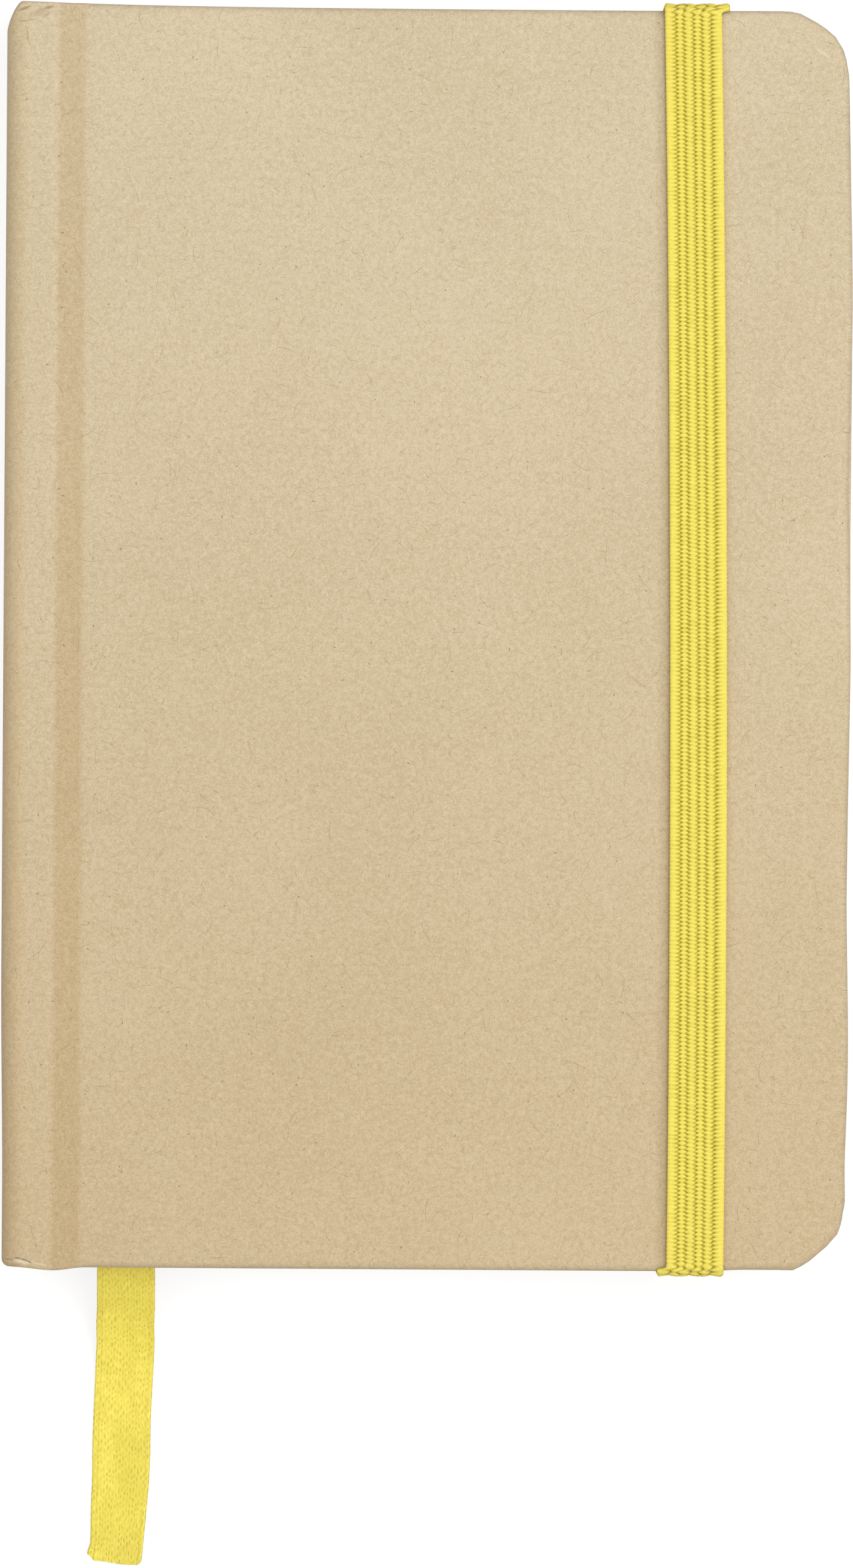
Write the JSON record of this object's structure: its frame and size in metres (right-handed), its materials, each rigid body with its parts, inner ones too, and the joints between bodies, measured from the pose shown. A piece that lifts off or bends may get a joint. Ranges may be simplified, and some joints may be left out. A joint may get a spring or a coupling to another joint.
{
  "type": "lined notebook",
  "caption": "Pocket notebook with kraft paper hard covers that hinge at the spine, sewn lined pages, a flat elastic closing band and a ribbon marker.",
  "frame": {"origin": "on the table, under the middle of the closed book", "axes": "+Z leaves the front cover, +Y points to the head of the pages, +X points to the fore-edge"},
  "size_m": [0.095, 0.1769, 0.0156],
  "materials": {
    "pages": "uncoated ivory writing paper, cut edges",
    "gauze": "gauze set in clear glue",
    "card": "grey-brown card",
    "board": "grey-brown binding board",
    "kraft": "unbleached kraft paper with long fibres and small specks, matt",
    "endpaper": "uncoated ivory paper",
    "elastic": "woven yellow elastic with six lengthwise ribs",
    "ribbon": "yellow satin ribbon"
  },
  "bodies": {
    "text_block": {"page_block": "pages", "spine_lining": "gauze", "spine_board": "card", "spine_paper": "kraft", "ribbon_marker": "ribbon"},
    "front_cover": {"front_board": "board", "front_cover_paper": "kraft", "front_endpaper": "endpaper"},
    "back_cover": {"back_board": "board", "back_cover_paper": "kraft", "back_endpaper": "endpaper", "elastic_band": "elastic"}
  },
  "joints": [
    {"name": "front_cover_hinge", "type": "hinge", "parent": "text_block", "child": "front_cover", "pos_m": [-0.0402, 0, 0.01499], "axis": [0, -1, 0], "range_deg": [0, 180], "deforming": ["elastic_band"]},
    {"name": "back_cover_hinge", "type": "hinge", "parent": "text_block", "child": "back_cover", "pos_m": [-0.0402, 0, 0.00065], "axis": [0, 1, 0], "range_deg": [0, 180], "deforming": ["elastic_band"]}
  ]
}
